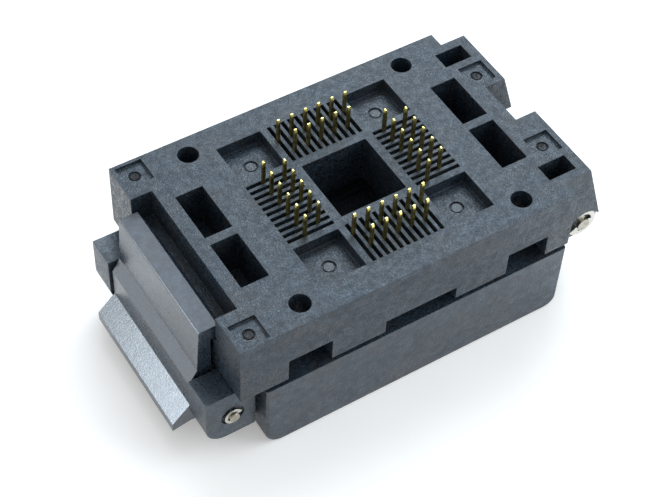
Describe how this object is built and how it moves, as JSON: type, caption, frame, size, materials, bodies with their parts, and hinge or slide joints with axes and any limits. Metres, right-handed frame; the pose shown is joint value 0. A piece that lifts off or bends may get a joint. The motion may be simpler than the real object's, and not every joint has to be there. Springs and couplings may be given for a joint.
{
  "type": "ic test socket",
  "caption": "Hinged clamshell test socket for a flat square package, with a gridded contact field, staggered solder tails, a finger latch and a sprung pusher in its lid.",
  "frame": {"origin": "centre of the contact field on the board face, the flat face that lies on the circuit board", "axes": "+Z out of the board face, the way the solder tails point; +X towards the lid hinge, -X towards the latch; +Y across. The part lies as pictured, upside down on its lid"},
  "size_m": [0.0501, 0.0266, 0.0211],
  "materials": {
    "housing_plastic": "glass-filled moulding resin, charcoal with a blue cast, matte and finely mottled",
    "latch_plastic": "the same resin with a smoother, slightly shinier skin",
    "nest_plastic": "darker moulding resin, matte",
    "contact_gold": "gold-plated spring copper alloy, bright at the cut tips",
    "screw_steel": "plain steel",
    "shaft_steel": "ground steel",
    "clip_steel": "bright plated spring steel",
    "spring_steel": "drawn spring wire"
  },
  "bodies": {
    "base": {"base_housing": "housing_plastic", "contacts_north": "contact_gold", "contacts_south": "contact_gold", "contacts_east": "contact_gold", "contacts_west": "contact_gold", "nest_plate": "nest_plastic", "nest_screws": "screw_steel", "hinge_shaft": "shaft_steel", "hinge_clip_near": "clip_steel", "hinge_clip_far": "clip_steel", "hinge_spring": "spring_steel"},
    "lid": {"lid_frame": "housing_plastic", "latch_shaft": "shaft_steel", "latch_clip_near": "clip_steel", "latch_clip_far": "clip_steel", "latch_springs": "spring_steel", "pusher_springs": "spring_steel"},
    "latch": {"latch": "latch_plastic"},
    "pusher": {"pusher": "nest_plastic", "pusher_screws": "screw_steel"}
  },
  "joints": [
    {"name": "lid_hinge", "type": "hinge", "parent": "base", "child": "lid", "pos_m": [0.0222, 0, -0.009], "axis": [0, -1, 0], "range_deg": [0, 105], "deforming": ["hinge_spring"]},
    {"name": "latch_pivot", "type": "hinge", "parent": "lid", "child": "latch", "pos_m": [-0.021, 0, -0.0117], "axis": [0, -1, 0], "range_deg": [0, 12], "stiffness_Nm_per_rad": 0.06, "springref_deg": -8.59, "deforming": ["latch_springs"]},
    {"name": "pusher_slide", "type": "slide", "parent": "lid", "child": "pusher", "axis": [0, 0, -1], "range_m": [0, 0.0006], "stiffness_N_per_m": 6000, "springref_m": -0.0005, "deforming": ["pusher_springs"]}
  ]
}
